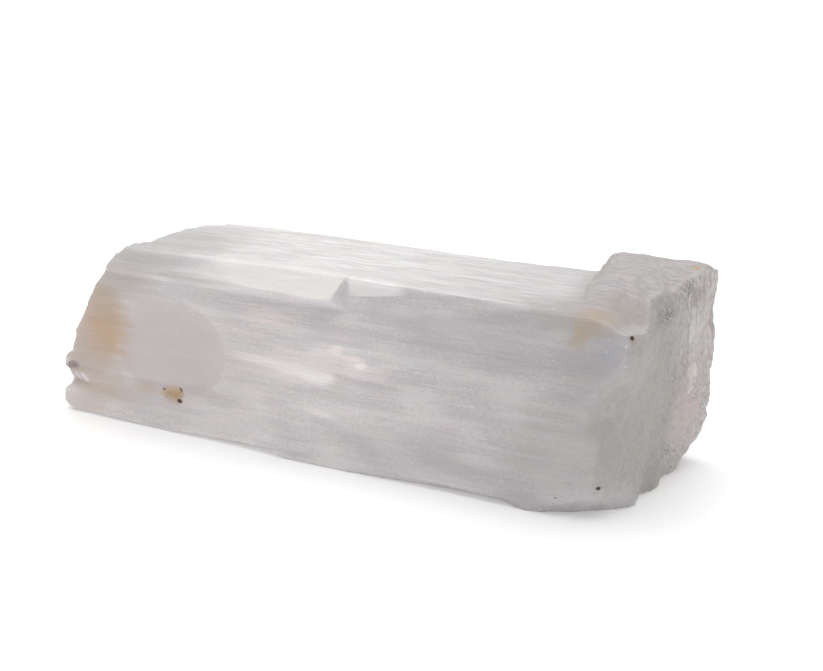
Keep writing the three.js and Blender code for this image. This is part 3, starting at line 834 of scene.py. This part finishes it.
def lay_floor(stage):
    """A wide floor under the log."""
    bpy.ops.object.select_all(action="DESELECT")
    bpy.ops.mesh.primitive_plane_add(size=stage.floor_size, location=(0.0, 0.0, 0.0))
    floor = bpy.context.object
    floor.name = FLOOR
    floor.data.materials.append(floor_material(stage))


def hang_light(stage):
    """One broad light from above."""
    bpy.ops.object.light_add(type="SUN", location=(0.0, 0.0, 1.0), rotation=SUN_TURN)
    overhead = bpy.context.object
    overhead.name = "overhead_light"
    overhead.data.energy = stage.overhead
    overhead.data.angle = stage.softness


def studio_air(stage):
    """White air that the camera sees at full strength and that lights the log more softly."""
    world = bpy.data.worlds.new("studio_air")
    world.use_nodes = True
    tree = world.node_tree
    tree.nodes.clear()
    seen = put(tree, "ShaderNodeBackground", {"Color": opaque(WHITE), "Strength": 1.0}).outputs[0]
    lit = put(tree, "ShaderNodeBackground", {"Color": opaque(WHITE), "Strength": stage.ambient}).outputs[0]
    from_camera = put(tree, "ShaderNodeLightPath").outputs["Is Camera Ray"]
    mixed = put(tree, "ShaderNodeMixShader", {0: from_camera, 1: lit, 2: seen})
    output = put(tree, "ShaderNodeOutputWorld")
    tree.links.new(mixed.outputs[0], output.inputs[0])
    return world


def set_camera(stage):
    """A camera that looks at the aim from the stage's azimuth, elevation and distance."""
    flat = math.cos(stage.elevation)
    sideways = math.sin(stage.azimuth) * flat
    backwards = -math.cos(stage.azimuth) * flat
    back = Vector((sideways, backwards, math.sin(stage.elevation)))
    place = Vector(stage.aim) + back * stage.distance
    turn = (-back).to_track_quat("-Z", "Y").to_euler()
    bpy.ops.object.camera_add(location=place, rotation=turn)
    camera = bpy.context.object
    camera.name = "studio_camera"
    camera.data.lens = stage.lens
    camera.data.sensor_width = SENSOR_WIDTH
    camera.data.clip_start = 0.01
    camera.data.clip_end = 100.0
    return camera


class SELENITE_OT_stage(bpy.types.Operator):
    """Lays the floor and sets the lights and the camera"""

    bl_idname = "selenite.stage"
    bl_label = "Studio"
    bl_options = {"REGISTER", "UNDO"}

    def execute(self, context):
        stage = context.scene.selenite_stage
        lay_floor(stage)
        hang_light(stage)
        context.scene.world = studio_air(stage)
        context.scene.camera = set_camera(stage)
        context.scene.view_settings.view_transform = "Standard"
        return {"FINISHED"}


# ---- the add-on ----


class SELENITE_PT_panel(bpy.types.Panel):
    """Lists the settings and the makers of the log"""

    bl_idname = "SELENITE_PT_panel"
    bl_label = "Selenite Log"
    bl_space_type = "VIEW_3D"
    bl_region_type = "UI"
    bl_category = "Selenite"

    def draw(self, context):
        scene = context.scene
        for title, group, maker in (
            ("Stone", scene.selenite_shape, SELENITE_OT_crystal),
            ("Finish", scene.selenite_finish, None),
            ("Studio", scene.selenite_stage, SELENITE_OT_stage),
        ):
            box = self.layout.box()
            box.label(text=title)
            for name in group.__annotations__:
                box.prop(group, name)
            if maker:
                box.operator(maker.bl_idname)


CLASSES = (
    SeleniteShape,
    SeleniteFinish,
    SeleniteStage,
    SELENITE_OT_crystal,
    SELENITE_OT_stage,
    SELENITE_PT_panel,
)


def register():
    for cls in CLASSES:
        bpy.utils.register_class(cls)
    bpy.types.Scene.selenite_shape = bpy.props.PointerProperty(type=SeleniteShape)
    bpy.types.Scene.selenite_finish = bpy.props.PointerProperty(type=SeleniteFinish)
    bpy.types.Scene.selenite_stage = bpy.props.PointerProperty(type=SeleniteStage)


def unregister():
    del bpy.types.Scene.selenite_stage
    del bpy.types.Scene.selenite_finish
    del bpy.types.Scene.selenite_shape
    for cls in reversed(CLASSES):
        bpy.utils.unregister_class(cls)


def main():
    register()
    bpy.ops.selenite.crystal()
    bpy.ops.selenite.stage()


if __name__ == "__main__":
    main()
